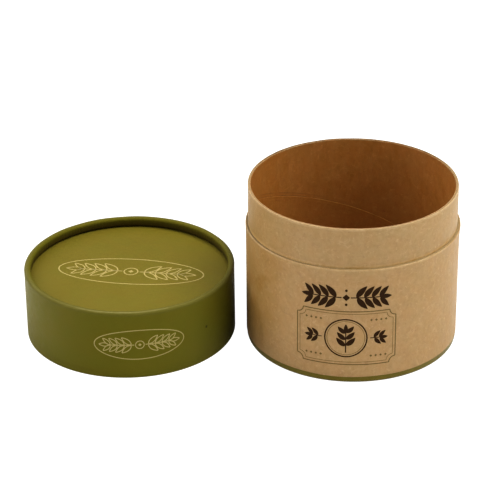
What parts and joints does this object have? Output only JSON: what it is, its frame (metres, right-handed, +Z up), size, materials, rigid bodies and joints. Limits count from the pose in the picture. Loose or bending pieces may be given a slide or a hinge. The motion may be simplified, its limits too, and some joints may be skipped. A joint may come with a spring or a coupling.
{
  "type": "cylindrical gift tube box",
  "caption": "Cylindrical kraft paper tube box with a raised inner collar, an open mouth and a loose telescoping lid with a rolled rim standing beside it.",
  "frame": {"origin": "centre of the box's foot, on the surface that the box and its lid stand on", "axes": "+Z up along the axis of the tube; -Y is the printed front; the lid stands off its box towards -X"},
  "size_m": [0.2059, 0.1071, 0.0786],
  "materials": {
    "kraft_label_paper": "matt brown kraft label paper",
    "kraft_collar_paper": "matt brown kraft paper",
    "kraft_lining_paper": "matt brown kraft lining paper",
    "green_paper": "olive green dyed paper, eggshell",
    "wound_board": "raw wound paperboard",
    "disc_board": "raw grey-brown chipboard"
  },
  "bodies": {
    "box": {"outer_tube_board": "wound_board", "outer_cover_paper": "green_paper", "printed_label_wrap": "kraft_label_paper", "base_underside_paper": "green_paper", "base_disc_board": "disc_board", "floor_liner_paper": "kraft_lining_paper", "neck_cover_paper": "kraft_collar_paper", "neck_tube_board": "wound_board", "neck_lining_paper": "kraft_lining_paper"},
    "lid": {"lid_cover_paper": "green_paper", "lid_tube_board": "wound_board", "lid_inner_board": "wound_board", "lid_face_paper": "green_paper", "lid_disc_board": "disc_board", "lid_underside_paper": "kraft_lining_paper", "lid_lining_paper": "kraft_lining_paper"}
  },
  "joints": [
    {"name": "lid_lift", "type": "slide", "parent": "box", "child": "lid", "axis": [0, 0, 1], "range_m": [0, 0.085]}
  ]
}
